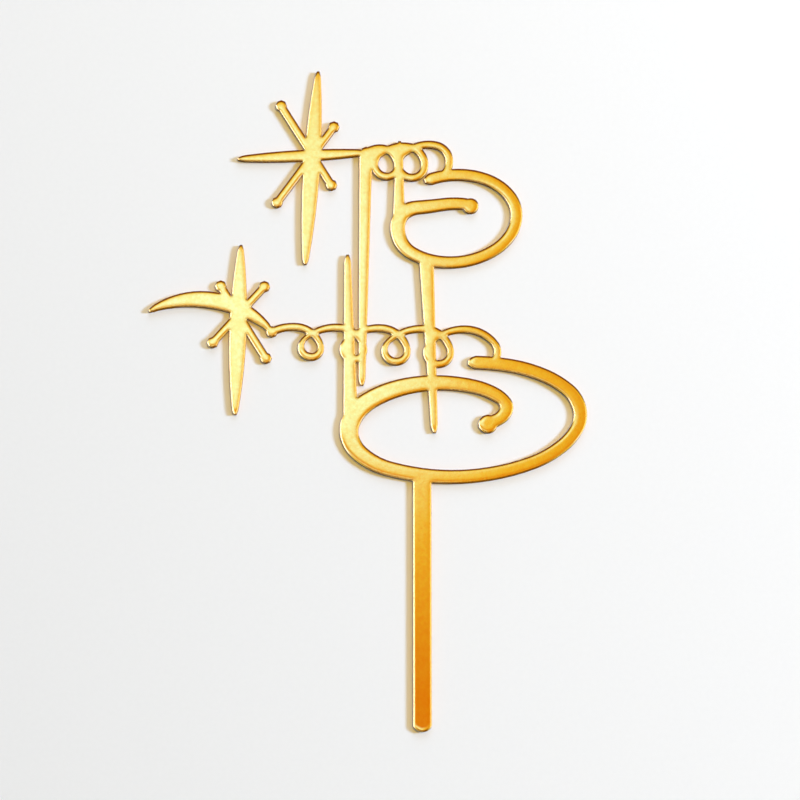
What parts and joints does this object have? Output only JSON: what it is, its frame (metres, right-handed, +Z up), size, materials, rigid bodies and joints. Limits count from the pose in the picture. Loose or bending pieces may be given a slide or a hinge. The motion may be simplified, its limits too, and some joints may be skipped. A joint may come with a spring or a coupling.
{
  "type": "cake topper",
  "caption": "Flat mirror-gold cake topper with star bursts, curled streamers and oval scrolls above a straight stake.",
  "frame": {"origin": "tip of the stake, on the middle of its width and of the sheet's thickness", "axes": "+Z up along the stake, +X to the right as seen from the shiny face, +Y out of the painted back, so the shiny face looks to -Y"},
  "size_m": [0.1088, 0.0012, 0.1655],
  "materials": {
    "gold_acrylic": "polished gold-tinted acrylic over a mirror",
    "mirror_coat": "gold mirror",
    "back_paint": "matte grey protective paint"
  },
  "bodies": {
    "root": {"acrylic_sheet": "gold_acrylic", "mirror_coat": "mirror_coat", "back_paint": "back_paint"}
  },
  "joints": []
}
